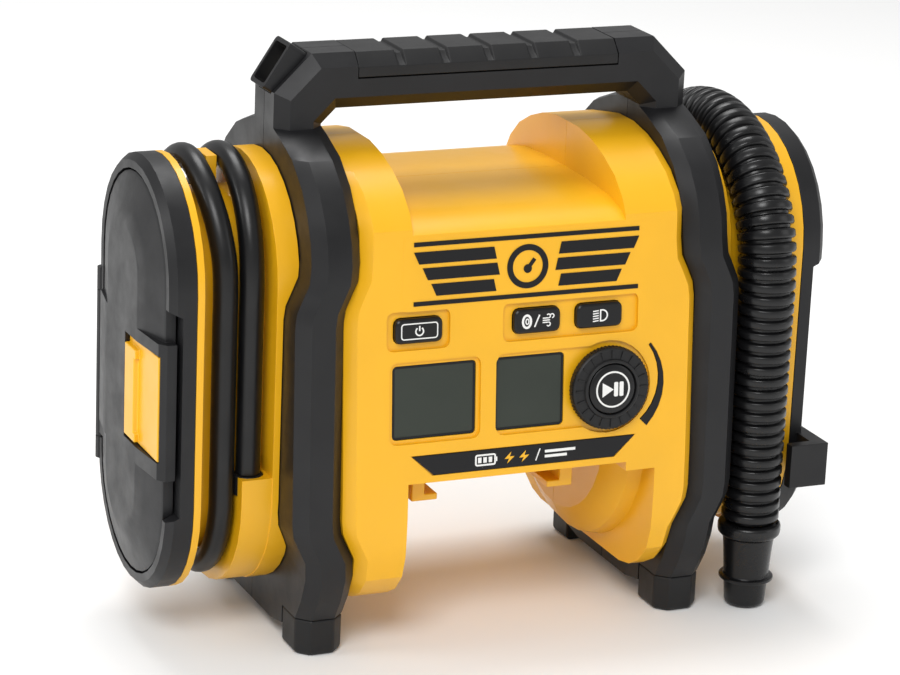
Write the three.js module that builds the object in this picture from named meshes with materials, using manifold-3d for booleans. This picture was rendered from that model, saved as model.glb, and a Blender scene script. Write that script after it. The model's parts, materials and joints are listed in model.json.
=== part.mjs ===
// A cordless air pump: a black cage with a handle around a yellow body, a rubber hose wound
// on the left drum and a wide corrugated hose over the right one. Millimetres, +Z up,
// the control panel facing -Y, the origin on the floor under the middle of the object.
import * as THREE from "three";
import { mergeVertices } from "three/addons/utils/BufferGeometryUtils.js";
import Module from "manifold-3d";

const wasm = await Module();
wasm.setup();

// Driving dimensions
const gap = 0.3; // clearance between touching pieces
const wall = 3.2; // thickness of the moulded shells
const panelLean = THREE.MathUtils.degToRad(4.3); // the control panel leans back
const panelFront = 68.75; // distance of the panel from the mid plane, at panelHeight
const panelHeight = 110;
const legMiddle = 86.3; // X of the middle of a side frame
const legHalf = 10.8; // half the width of a side frame
const legBevel = 5.5;
const splay = 7; // how far the side frames step outwards at the waist
const handleHalf = 17; // half the depth of the handle
const handleTop = 254.5;
const handleUnder = 230.3;
const bay = { left: -54, right: 49, ceiling: 79 }; // the battery slot, open front to back
const drumHalf = 49; // half the depth of the end drums
const drumLow = 20;
const drumHigh = 212;
const drumInner = 97.6; // X where a drum meets its side frame
const drumOuter = 142.3;
const capOuter = 154;
const lobeOuter = 155.6; // the right end stands out a little further above the hose strap
const channel = { from: 107.3, to: 139.2, depth: 15.4 }; // where the rubber hose is wound
const hoseRadius = 5.3;
const hoseLanes = [
  { front: -115.2, crest: -114.8 }, // X of the first turn of the rubber hose, in front and over the top
  { front: -126.9, crest: -131 },
];
const hoseRise = 7.6; // the turns stand this much higher over the top
const ledgeTop = 79.7; // the first turn rises out of this ledge
const hoseOrbit = 39.4; // half the depth of the wound hose's centre line
const wideHoseRadius = 13;
const wideHose = { x: 119.5, y: 58.5, top: 212.5, bottom: 40.3, portTop: 74 };
const hoseLow = drumLow + drumHalf - hoseOrbit;
const hoseHigh = drumHigh - drumHalf + hoseOrbit;
const chuck = { y: 57.5, top: 120, bottom: 76 }; // the inflation chuck, behind the wound hose
const beltDepth = 148.5; // X that the end collars are cut back to at the waist
const hinge = { x: -151.7, y: 47.5 }; // the storage door turns about this upright line
const latch = { low: 90, high: 136 }; // heights of the latch plate's ends
const pillars = [-53, 46]; // X of the inner faces of the pillars beside the barrel
const bulge = {
  low: 21, deep: 63, reach: 63, top: 75, rings: [[44, 24], [50, 13], [53, 7], [57, 3], [64, 1]],
};
const footHeight = 16.4;
const footFront = 59;
const gripHalf = 61; // half the length of the rubber grip
const screwPlaces = [[-62, 176], [62, 176], [-70, 60], [70, 60]];

// Places on the control panel: x to the right, y up from panelHeight
const controls = {
  power: { x: -50, y: 36, width: 21.6, height: 10.8 },
  mode: { x: 4.8, y: 36, width: 21.6, height: 10.8 },
  light: { x: 34.2, y: 36, width: 21.6, height: 10.8 },
};
const windows = { left: { x: -42, width: 38 }, right: { x: 2.4, width: 32 }, y: 4.6, height: 31.8 };
const dial = { x: 39, y: 3.8, radius: 18.2, hub: 11, height: 6, ridges: 48 };
const badge = { x: 0, y: 60, width: 112, height: 29 };
const strip = { y: -23.4, height: 8.8, top: 105, slant: 10 };

// Work light on the upper left corner of the cage, its mouth facing out and up
const light = { angle: THREE.MathUtils.degToRad(147), x: -84.5, z: 242.5, half: 11.2, width: 17 };

// Drive: the motor's pinion turns a gear whose crank pin works the piston above it
const drive = { motor: [12, 160], module: 1, pinionTeeth: 10, gearTeeth: 54 };
const gearRadius = (drive.module * drive.gearTeeth) / 2;
const pinionRadius = (drive.module * drive.pinionTeeth) / 2;
const crankAt = [12, drive.motor[1] - gearRadius - pinionRadius - 0.1];
const cylinderX = 20;
const blowerAt = [-2, 122];
const batteryMiddle = -9.5; // X of the middle of the battery rails
const contacts = { negative_contact: -10, positive_contact: 10 }; // X from the middle of the slot

// Half depth of the side frames at each height, and how far they step outwards there
const frameLevels = [
  [6, 30, 0], [10, 50, 0], [16.7, 59, 0], [27, 65.5, 0], [38, 70, 0], [46, 70.8, 0.6],
  [52, 71, 3.5], [58, 70.9, 6.3], [64, 70.8, 1], [106, 68.8, 1], [150, 67.5, 1], [156, 67.3, 6.2],
  [162, 67.1, 3.6], [168, 66.9, 0.8], [176, 66.2, 0], [185, 64.5, 0], [195, 60, 0], [205, 52.8, 0],
  [215, 40, 0], [221, 24, 0], [223, 17, 0],
].map(([z, depth, out]) => ({ z, depth, out: out === 1 ? splay : out }));

// Half depth of the yellow body at each height
const bodyLevels = [
  [21, 42, 0], [23, 52, 0], [28, 61, 0], [36, 68, 0], [46, 71, 0.6], [52, 71.4, 3.5], [58, 71.6, 6.3],
  [64, 71.7, splay], [80, 71, splay], [150, 65.8, splay], [156, 65.3, 6.2], [162, 64.9, 3.6],
  [168, 64.4, 0.8], [176, 63.8, 0], [189, 62.8, 0], [195, 59, 0], [203, 50, 0], [209, 38, 0],
  [213, 26, 0], [215.5, 12, 0],
].map(([z, depth, out]) => ({ z, depth, out }));

const finish = (color, roughness, metalness = 0) =>
  new THREE.MeshStandardMaterial({ color, roughness, metalness });
const yellow = finish(0xf2b21c, 0.38);
const black = finish(0x26262a, 0.55);
const rubber = finish(0x17171a, 0.8);
const softBlack = finish(0x1c1c1f, 0.7);
const glass = finish(0x2b332d, 0.12);
const ink = finish(0x101012, 0.45);
const lensWhite = finish(0xcfc6b4, 0.3);
const steel = finish(0xb4b6ba, 0.3, 1);
const brass = finish(0xc39b4a, 0.35, 1);
const aluminium = finish(0xa9adb2, 0.4, 1);
const circuit = finish(0x1e5a38, 0.6);
const grey = finish(0x6f7276, 0.55);

const root = new THREE.Group();

// Solids

function solid(geometry) {
  const bare = geometry.clone();
  bare.deleteAttribute("normal");
  bare.deleteAttribute("uv");
  const merged = mergeVertices(bare, 1e-4);
  return new wasm.Manifold(
    new wasm.Mesh({
      numProp: 3,
      vertProperties: merged.attributes.position.array,
      triVerts: new Uint32Array(merged.index.array),
    }),
  );
}

function geometryOf(body) {
  const mesh = body.getMesh();
  const geometry = new THREE.BufferGeometry();
  geometry.setAttribute("position", new THREE.BufferAttribute(mesh.vertProperties, 3));
  geometry.setIndex(new THREE.BufferAttribute(mesh.triVerts, 1));
  geometry.computeVertexNormals();
  return geometry;
}

function add(name, body, material) {
  const mesh = new THREE.Mesh(geometryOf(body), material);
  mesh.name = name;
  root.add(mesh);
}

const join = (...bodies) => bodies.reduce((whole, body) => whole.add(body));
const cut = (body, ...tools) => tools.reduce((left, tool) => left.subtract(tool), body);

function block(x0, x1, y0, y1, z0, z1) {
  const geometry = new THREE.BoxGeometry(x1 - x0, y1 - y0, z1 - z0);
  geometry.translate((x0 + x1) / 2, (y0 + y1) / 2, (z0 + z1) / 2);
  return solid(geometry);
}

// Turns a shape drawn across an axis so that its depth runs along that axis
const basis = {
  x: new THREE.Matrix4().set(0, 0, 1, 0, 1, 0, 0, 0, 0, 1, 0, 0, 0, 0, 0, 1),
  y: new THREE.Matrix4().set(1, 0, 0, 0, 0, 0, -1, 0, 0, 1, 0, 0, 0, 0, 0, 1),
  z: new THREE.Matrix4(),
};

// An outline of [u, v] points pushed along an axis: (y, z) along x, (x, z) along y, (x, y) along z
function plate(outline, axis, from, to) {
  const shape = new THREE.Shape(outline.map(([u, v]) => new THREE.Vector2(u, v)));
  const geometry = new THREE.ExtrudeGeometry(shape, { depth: to - from, bevelEnabled: false });
  geometry.translate(0, 0, axis === "y" ? -to : from);
  return solid(geometry.applyMatrix4(basis[axis]));
}

// A round bar along an axis; at holds its place across the axis, as in plate
function rod(axis, at, from, to, radius, sides = 20) {
  const circle = arc(at[0], at[1], radius, 0, 2 * Math.PI, sides).slice(0, -1);
  return plate(circle, axis, from, to);
}

// A closed solid through loops of points that all have the same count
function loft(loops) {
  const count = loops[0].length;
  const position = loops.flat(2);
  const index = [];
  for (let i = 0; i + 1 < loops.length; i++) {
    for (let j = 0; j < count; j++) {
      const a = i * count + j;
      const b = i * count + ((j + 1) % count);
      index.push(a, b, b + count, a, b + count, a + count);
    }
  }
  const spread = [0, 1, 2].map((axis) => {
    const values = loops[0].map((point) => point[axis]);
    return Math.max(...values) - Math.min(...values);
  });
  const flat = spread.indexOf(Math.min(...spread));
  const [u, v] = [0, 1, 2].filter((axis) => axis !== flat);
  const ends = [[loops[0], 0, false], [loops.at(-1), position.length / 3 - count, true]];
  for (const [loop, start, last] of ends) {
    const contour = loop.map((point) => new THREE.Vector2(point[u], point[v]));
    const turn = Math.sign(THREE.ShapeUtils.area(contour));
    for (const face of THREE.ShapeUtils.triangulateShape(contour, [])) {
      const same = Math.sign(THREE.ShapeUtils.area(face.map((k) => contour[k]))) === turn;
      const corners = same === last ? face : [face[0], face[2], face[1]];
      index.push(...corners.map((k) => k + start));
    }
  }
  const geometry = new THREE.BufferGeometry();
  geometry.setAttribute("position", new THREE.Float32BufferAttribute(position, 3));
  geometry.setIndex(index);
  return facingOut(geometry);
}

function arc(cx, cy, radius, from, to, steps) {
  return Array.from({ length: steps + 1 }, (_, i) => {
    const angle = from + ((to - from) * i) / steps;
    return [cx + radius * Math.cos(angle), cy + radius * Math.sin(angle)];
  });
}

// A rectangle with round corners, centred on (cx, cy)
function roundRectangle(cx, cy, width, height, radius, steps = 3) {
  const x = width / 2 - radius;
  const y = height / 2 - radius;
  return [[x, y, 0], [-x, y, 1], [-x, -y, 2], [x, -y, 3]].flatMap(([dx, dy, quarter]) =>
    arc(cx + dx, cy + dy, radius, (quarter * Math.PI) / 2, ((quarter + 1) * Math.PI) / 2, steps));
}

// The upright outline of an end drum, [y, z], grown or shrunk by inset
function stadium(half, low, high, inset = 0, steps = 16) {
  const radius = half - inset;
  return [
    ...arc(0, high - half, radius, 0, Math.PI, steps),
    ...arc(0, low + half, radius, Math.PI, 2 * Math.PI, steps),
  ];
}

const drumPlate = (from, to, inset = 0) =>
  plate(stadium(drumHalf, drumLow, drumHigh, inset), "x", from, to);

// A solid through drum outlines, one for each [x, inset]
const drumLoft = (rings) =>
  loft(rings.map(([x, inset]) => stadium(drumHalf, drumLow, drumHigh, inset).map(([y, z]) => [x, y, z])));

function tube(points, radius, sides, steps) {
  const through = points.map((point) => new THREE.Vector3(...point));
  const path = new THREE.CatmullRomCurve3(through, false, "centripetal");
  const circle = arc(0, 0, radius, 0, 2 * Math.PI, sides).slice(0, -1);
  const shape = new THREE.Shape(circle.map(([x, y]) => new THREE.Vector2(x, y)));
  return solid(new THREE.ExtrudeGeometry(shape, { steps, extrudePath: path, bevelEnabled: false }));
}

// A body of revolution about an axis through at, from [radius, height] points
function turned(axis, at, profile, sides = 24) {
  const points = profile.map(([r, h]) => new THREE.Vector2(r, h));
  const geometry = new THREE.LatheGeometry(points, sides);
  if (axis === "x") geometry.rotateZ(-Math.PI / 2).translate(0, at[0], at[1]);
  if (axis === "y") geometry.translate(at[0], 0, at[1]);
  if (axis === "z") geometry.rotateX(Math.PI / 2).translate(at[0], at[1], 0);
  return facingOut(geometry);
}

// The solid of a closed geometry, with its faces turned outwards
function facingOut(geometry) {
  const body = solid(geometry);
  if (body.volume() > 0) return body;
  const index = Array.from(geometry.index.array);
  for (let i = 0; i < index.length; i += 3) {
    [index[i + 1], index[i + 2]] = [index[i + 2], index[i + 1]];
  }
  return solid(geometry.setIndex(index));
}

// Places a geometry or outline made on the control panel: x to the right, y up it, z out of it
const panelFrame = new THREE.Matrix4().makeBasis(
  new THREE.Vector3(1, 0, 0),
  new THREE.Vector3(0, Math.sin(panelLean), Math.cos(panelLean)),
  new THREE.Vector3(0, -Math.cos(panelLean), Math.sin(panelLean)),
).setPosition(0, -panelFront, panelHeight);

const panelPoint = (u, v, w) => new THREE.Vector3(u, v, w).applyMatrix4(panelFrame).toArray();

function onPanel(outline, from, to) {
  const shape = new THREE.Shape(outline.map(([u, v]) => new THREE.Vector2(u, v)));
  const geometry = new THREE.ExtrudeGeometry(shape, { depth: to - from, bevelEnabled: false });
  return solid(geometry.translate(0, 0, from).applyMatrix4(panelFrame));
}

// Horizontal loops of eight corners: the body's or a frame's section at each height
function stack(levels, sectionAt) {
  return loft(levels.map((level) => sectionAt(level).map(([x, y]) => [x, y, level.z])));
}

function bevelled(x0, x1, y, bevelX, bevelY) {
  return [
    [x0 + bevelX, -y], [x1 - bevelX, -y], [x1, -y + bevelY], [x1, y - bevelY],
    [x1 - bevelX, y], [x0 + bevelX, y], [x0, y - bevelY], [x0, -y + bevelY],
  ];
}

const mirrored = (outline) => outline.map(([x, y]) => [-x, y]);
const frontOnly = () => block(-200, 200, -200, -gap / 2, -10, 300);
const rearOnly = () => block(-200, 200, gap / 2, 200, -10, 300);

// Cage: two side frames and the handle between them, split front and rear at the mid plane

function sideFrame(side) {
  const ring = stack(frameLevels, ({ depth, out }) => {
    const middle = legMiddle + out;
    const bevelY = Math.min(legBevel, depth / 3);
    return bevelled(side * middle - legHalf, side * middle + legHalf, depth, legBevel, bevelY);
  });
  const from = side * (legMiddle + 3) - 25;
  const opening = plate(stadium(47, 22, 210), "x", from, from + 50);
  const corners = [-1, 1].map((end) => {
    const y = [footFront - 21.3, footFront + 20].map((v) => end * v).sort((p, q) => p - q);
    return block(side * legMiddle - 20, side * legMiddle + 20, ...y, -5, footHeight + gap);
  });
  return cut(ring, opening, ...corners);
}

function handleBow() {
  const edge = legMiddle + legHalf;
  const inside = legMiddle - legHalf;
  const outline = (o) => {
    const half = [
      [edge - o, 216], [edge - o, 238.2 - 0.45 * o], [edge - 16.5 - 0.45 * o, handleTop - o],
    ];
    const inner = [
      [inside - 6.6 + 0.45 * o, handleUnder + o], [inside + o, 223.8 + 0.45 * o], [inside + o, 216],
    ];
    return [
      ...half, ...mirrored(half).reverse(), ...mirrored(inner).reverse(), ...inner,
    ];
  };
  const flat = handleHalf - legBevel;
  const layers = [[-handleHalf, legBevel], [-flat, 0], [flat, 0], [handleHalf, legBevel]];
  return loft(layers.map(([y, inset]) => outline(inset).map(([x, z]) => [x, y, z])));
}

function gripOutline(inset, drop) {
  const low = handleTop - 10.5 - drop;
  const y = handleHalf - inset;
  const bevel = legBevel - 0.4 * inset;
  const top = handleTop - inset;
  return [
    [-20, low], [-20, 262], [20, 262], [20, low], [y, low], [y, top - bevel],
    [y - bevel, top], [bevel - y, top], [-y, top - bevel], [-y, low],
  ];
}

const cageWhole = () => {
  const pocket = plate(gripOutline(2.4, gap), "x", -gripHalf - gap, gripHalf + gap);
  return cut(join(handleBow(), sideFrame(-1), sideFrame(1)), pocket);
};

function handleGrip() {
  const skin = cut(handleBow(), block(-200, 200, -30, 30, 0, 244));
  const sleeve = skin.intersect(plate(gripOutline(2.1, 0), "x", -gripHalf, gripHalf));
  const grooves = [-28, -14, 0, 14, 28].map((x) => block(x - 1, x + 1, -20, 20, handleTop - 0.9, 260));
  return cut(sleeve, ...grooves);
}

function foot(side, end) {
  const x0 = side * legMiddle - legHalf;
  const x1 = side * legMiddle + legHalf;
  const corner = (inset) => [
    [x0 + inset, footFront - 21], [x1 - inset, footFront - 21], [x1 - inset, footFront - legBevel],
    [x1 - legBevel, footFront - inset], [x0 + legBevel, footFront - inset],
    [x0 + inset, footFront - legBevel],
  ].map(([x, y]) => [x, end * y]);
  const levels = [[0, 1.6], [1.6, 0], [footHeight, 0]];
  return loft(levels.map(([z, inset]) => corner(inset).map(([x, y]) => [x, y, z])));
}

// Body: front and rear shells of the yellow housing

const bodySection = (inset) => ({ depth, out }) => {
  const x = legMiddle - legHalf - gap + out - inset;
  const y = Math.max(depth - inset, 4);
  return bevelled(-x, x, y, 4.5, Math.min(4.5, y / 2));
};

function bodyWhole() {
  const outside = stack(bodyLevels, bodySection(0));
  const inwards = (z) => (z < 100 ? z + wall : z - wall);
  const insideLevels = bodyLevels.map((level) => ({ ...level, z: inwards(level.z) }));
  const inside = stack(insideLevels, bodySection(wall));
  const barrel = [[-63.2, 186.5], [-57.5, 190.3], [-45, 193.2], [-25, 194.7], [0, 195]];
  const above = [[90, 186.5], [90, 230], [-90, 230], [-90, 186.5]];
  const saddle = [...barrel, ...mirrored(barrel.slice(0, -1)).reverse(), ...above];
  const grown = saddle.map(([y, z]) => [y, z - wall]);
  const slot = block(bay.left, bay.right, -90, 90, 0, bay.ceiling);
  const slotWall = block(bay.left - wall, bay.right + wall, -90, 90, 0, bay.ceiling + wall);
  const [left, right] = pillars;
  const cavity = cut(inside, slotWall, plate(grown, "x", left - wall, right + wall), besideBulge(wall));
  const ways = [-1, 1].map((side) => rod("x", [0, 150], side * 80 - 12, side * 80 + 12, 14));
  return cut(outside, cavity, slot, plate(saddle, "x", left, right), besideBulge(0), ...ways);
}

// The right side of the slot bulges like a drum, set back from the front and the rear
function besideBulge(shrunk) {
  const { low, deep, reach, rings } = bulge;
  const ring = ([x, inset]) =>
    stadium(deep, low, 300, inset + shrunk).map(([y, z]) => [x + shrunk, y, z]);
  const room = block(bay.right - 1, reach + shrunk, -90, 90, 0, bulge.top + shrunk);
  return cut(room, loft(rings.map(ring)));
}


const grownRectangle = ({ x, y, width, height }, radius) =>
  roundRectangle(x, y, width + 2 * gap, height + 2 * gap, radius);

function frontPockets() {
  const through = Object.values(controls).map((b) =>
    onPanel(grownRectangle(b, 3), -8, 1));
  const shallow = [
    onPanel(roundRectangle(-50, 36, 29, 17, 3), -1.6, 1),
    onPanel(roundRectangle(21, 36, 64, 17, 3), -1.6, 1),
    onPanel(roundRectangle(-42, windows.y, 42, 36, 3.5), -1.4, 1),
    onPanel(roundRectangle(11, windows.y, 49, 36, 3.5), -1.4, 1),
    onPanel(grownRectangle(badge, 2), -0.8, 1),
    onPanel(stripOutline(gap), -0.8, 1),
    onPanel(markerOutline(gap), -0.8, 1),
  ];
  const glassWays = [windows.left, windows.right].map((w) =>
    onPanel(grownRectangle({ ...w, y: windows.y, height: windows.height }, 2), -8, 1));
  const well = onPanel(arc(dial.x, dial.y, dial.radius + 2.4, 0, 2 * Math.PI, 32).slice(0, -1), -1.4, 1);
  const neck = onPanel(arc(dial.x, dial.y, 8, 0, 2 * Math.PI, 20).slice(0, -1), -8, 1);
  return [...through, ...shallow, ...glassWays, well, neck];
}

// The dark strip under the windows, its ends cut on a slant
function stripOutline(grown) {
  const half = strip.top / 2 + 2 * grown;
  const high = strip.y + strip.height / 2 + grown;
  const low = strip.y - strip.height / 2 - grown;
  return [[half, high], [-half, high], [strip.slant - half, low], [half - strip.slant, low]];
}

// The tapered arc beside the dial
function markerOutline(grown) {
  const outer = arc(dial.x, dial.y, 27 + grown, -0.78, 0.72, 8);
  const inner = outer.map(([x, y], i) => {
    const width = 4.2 - 0.42 * i + 2 * grown;
    const scale = 1 - width / (27 + grown);
    return [dial.x + (x - dial.x) * scale, dial.y + (y - dial.y) * scale];
  });
  return [...outer, ...inner.reverse()];
}

function rearDetails() {
  const slots = [0, 1, 2, 3, 4, 5, 6].map((row) => block(-34, 34, 40, 90, 112 + 9 * row, 116 + 9 * row));
  const inlet = block(-62, -44, 40, 90, 96, 106);
  const screws = screwPlaces.map(([x, z]) => rod("y", [x, z], 58, 90, 4.2, 12));
  return [...slots, inlet, ...screws];
}

// End drums: a spool with a rim at each side of its channel, open towards the end

function drum(side, channelFrom, channelTo, floor) {
  const [x0, x1] = [drumInner, drumOuter].map((x) => side * x).sort((p, q) => p - q);
  const [c0, c1] = [channelFrom, channelTo].map((x) => side * x).sort((p, q) => p - q);
  const neck = [side * 82.8, side * (drumInner + 1)].sort((p, q) => p - q);
  const inner = side < 0 ? [x0 - 1, x1 - 4] : [x0 + 4, x1 + 1];
  const whole = join(drumPlate(x0, x1), plate(stadium(43, 26, 206), "x", ...neck));
  const ring = cut(drumPlate(c0, c1, -3), plate(floor(0), "x", c0 - 1, c1 + 1));
  const step = stack(frameLevels.filter(({ z }) => z > 30 && z < 180), ({ out }) => {
    const x = side * (legMiddle + legHalf + gap + out);
    const [a, b] = [side * 90, x].sort((p, q) => p - q);
    return [[a, -80], [b, -80], [b, 80], [a, 80]];
  });
  const waist = cut(step, plate(stadium(46, 23, 209), "x", side * 95 - 20, side * 95 + 20));
  const way = rod("x", [0, 150], side * 90 - 15, side * 90 + 15, 12);
  return cut(whole, ring, plate(floor(wall), "x", ...inner), waist, way);
}

function leftDrum() {
  const floor = (inset) => stadium(drumHalf, drumLow, drumHigh, channel.depth + inset);
  const lowFront = block(-122, -106, -60, 0, 10, ledgeTop);
  const ledge = cut(drumPlate(-120.9, -107, 0.4).intersect(lowFront), plate(floor(1), "x", -122, -106));
  const lug = block(-125.3, -120.5, -7, 7, 195, drumHigh - 0.4);
  const gland = rod("z", [hoseLanes[0].front, -hoseOrbit], ledgeTop - 9, 90, 6.9, 16);
  const cradle = cut(
    block(-140, -117, 45.3, 58, 92, 104),
    rod("z", [hoseLanes[1].front, chuck.y], 90, 106, 7.6, 16),
    block(hoseLanes[1].front - 4.1, hoseLanes[1].front + 5.9, chuck.y, 70, 90, 106),
  );
  return cut(join(drum(-1, channel.from, channel.to, floor), ledge, lug, cradle), gland);
}

function rightDrum() {
  const reach = wideHose.y - wideHoseRadius - gap;
  const crest = wideHose.top - wideHoseRadius - gap;
  const spool = drum(1, 106, 133.5, (inset) => stadium(reach, 24, crest, inset));
  const port = rod("z", [wideHose.x, wideHose.y], 40, 56, 15, 20);
  const bracket = block(104, 135, 40, 55, 40, 56);
  const clear = rod("z", [wideHose.x, wideHose.y], 56, wideHose.portTop + gap, 14.5, 20);
  return cut(join(spool, port, bracket), clear);
}

// Storage tub and collar on the left, cut back at the waist for the latch and the hinge
function collar(side, withFloor) {
  const [x0, x1] = [drumOuter + gap, capOuter].map((x) => side * x).sort((p, q) => p - q);
  const out = side < 0 ? x0 : x1;
  const rim = [[side * (drumOuter + gap), 0], [side * (capOuter - 3), 0], [side * capOuter, 3]];
  const ring = drumLoft(rim);
  const deep = side < 0 ? [-capOuter - 1, -104] : [drumOuter - 10, capOuter + 1];
  const tubOuter = plate(stadium(29, 40, 192), "x", ...(side < 0 ? [-144, -102] : [134, 144]));
  const hole = plate(stadium(29 - 2.4, 40 + 2.4, 192 - 2.4), "x", ...deep);
  const seat = drumPlate(...(side < 0 ? [out - 1, out + 5] : [out - 5, out + 1]), 6.5);
  const biteEdge = [[beltDepth + 22, 56], [beltDepth, 66], [beltDepth, 154], [beltDepth + 22, 164]];
  const bite = plate(biteEdge.map(([x, z]) => [side * x, z]), "y", -60, -38);
  const hollows = withFloor ? [hole, seat, bite] : [seat, bite];
  return cut(join(ring, tubOuter), ...hollows);
}

function storageTub() {
  const knuckles = [[140, 150], [62, 72]].map(([z0, z1]) =>
    join(rod("z", [hinge.x, hinge.y], z0, z1, 3.4, 12), block(-152, -148, 44, hinge.y + 1, z0, z1)));
  const bore = rod("z", [hinge.x, hinge.y], 50, 160, 1.6, 12);
  const clear = rod("z", [hinge.x, hinge.y], 72.3, 139.7, 4, 12);
  const relief = block(-160, hinge.x + 3.8, 37.7, 60, 72.3, 139.7);
  return cut(join(cut(collar(-1, true), relief), ...knuckles), bore, clear);
}

function storageDoor() {
  const rings = [[-149.3, 7], [-153.6, 7.4], [-154.2, 9], [-157.2, 22], [-159.2, 29]];
  const dome = drumLoft(rings);
  const shoulder = [
    [-150, -46.4], [-150, 40], [-156, 40], [-159.2, 22], [-159.2, -20], [-157.2, -43], [-154.4, -46.4],
  ];
  const belt = plate(shoulder, "z", 82, 142);
  const arm = block(-154.2, -150, 38, hinge.y, 74, 138);
  const barrel = rod("z", [hinge.x, hinge.y], 72.3, 139.7, 3.4, 12);
  const hollow = cut(plate(stadium(29, 40, 192), "x", -155, -149), block(-156, -152.6, -32, 0, 86, 138));
  const latchSeat = join(
    block(-160, -154.4, -43.6, -4.6, latch.low - 0.4, latch.high + 0.4),
    block(-160, -153.2, -43.6, -38, latch.low - 0.4, latch.high + 0.4),
  );
  const bore = rod("z", [hinge.x, hinge.y], 50, 160, 1.6, 12);
  return cut(join(dome, belt, arm, barrel), hollow, latchSeat, bore);
}

function doorLatch() {
  const face = block(-157.2, -154.8, -43.2, -5, latch.low, latch.high);
  const pull = block(-159.4, -157, -19, -5, latch.low + 1, latch.high - 4);
  return join(face, cut(pull, rod("z", [-159.6, -21.6], latch.low + 5, latch.high - 8, 4.6, 16)));
}

function endCap() {
  const shelf = collar(1, false);
  const lobe = cut(
    plate(stadium(drumHalf, drumLow, drumHigh, 7), "x", 148, lobeOuter),
    block(140, 160, -60, 60, 0, 156),
  );
  const hook = join(block(146, 153, -62, -38, 56, 76), block(134.5, 153, -66, -61, 56, 76));
  const clip = cut(hook, rod("z", [wideHose.x, -wideHose.y], 50, 80, wideHoseRadius + 2.2, 20));
  return join(shelf, lobe, clip);
}

// Hoses

function woundPoint(half, low, high, travel) {
  // travel is measured up the front, over the top, down the rear and round the bottom
  const straight = high - low - 2 * half;
  const bend = Math.PI * half;
  const lap = 2 * (straight + bend);
  let s = travel % lap;
  if (s < straight) return [-half, low + half + s];
  s -= straight;
  if (s < bend) return [-half * Math.cos(s / half), high - half + (half + hoseRise) * Math.sin(s / half)];
  s -= bend;
  if (s < straight) return [half, high - half - s];
  s -= straight;
  return [half * Math.cos(s / half), low + half - half * Math.sin(s / half)];
}

function rubberHoseRoute() {
  const straight = hoseHigh - hoseLow - 2 * hoseOrbit;
  const bend = Math.PI * hoseOrbit;
  const lap = 2 * (straight + bend);
  const start = ledgeTop + 0.6 - hoseLow - hoseOrbit;
  const end = lap + straight + bend + 18;
  const [first, second] = hoseLanes;
  const { lerp, smoothstep } = THREE.MathUtils;
  const route = [];
  for (let travel = start; travel < end; travel += 12) {
    const lean = smoothstep(travel % lap, straight, straight + 0.4 * bend);
    const across = smoothstep(travel, 1.5 * straight + bend, lap - 0.4 * bend);
    const front = lerp(first.front, second.front, across);
    const crest = lerp(first.crest, second.crest, across);
    const x = lerp(front, crest, travel < lap ? lean * (1 - across) : lean);
    route.push([x, ...woundPoint(hoseOrbit, hoseLow, hoseHigh, travel)]);
  }
  const x = second.front;
  return [...route, [x - 1.5, 44, 146], [x, 53, 135], [x, chuck.y, 124], [x, chuck.y, chuck.top + gap]];
}

function wideHoseRoute() {
  const { x, y, top, bottom, portTop } = wideHose;
  const springing = top - y;
  return [
    [x, y, portTop], [x, y, 100], [x, y, 128],
    ...arc(0, springing, y, 0, Math.PI, 10).map(([u, v]) => [x, u, v]),
    [x, -y, 128], [x, -y, 100], [x, -y, 70], [x, -y, bottom + gap],
  ];
}

// Drive: motor, reduction gear, crank, cylinder and the high-volume blower

function gearOutline(at, teeth, phase) {
  const pitch = (drive.module * teeth) / 2;
  const step = (2 * Math.PI) / teeth;
  return Array.from({ length: teeth }, (_, i) => {
    const middle = phase + i * step;
    return [[-0.3, -1.1], [-0.13, 0.75], [0.13, 0.75], [0.3, -1.1]].map(([turn, rise]) => {
      const angle = middle + turn * step;
      return [at[0] + (pitch + rise) * Math.cos(angle), at[1] + (pitch + rise) * Math.sin(angle)];
    });
  }).flat();
}

const turnedAbout = ([y, z], [u, v], angle) =>
  [y + u * Math.cos(angle) - v * Math.sin(angle), z + u * Math.sin(angle) + v * Math.cos(angle)];

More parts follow.
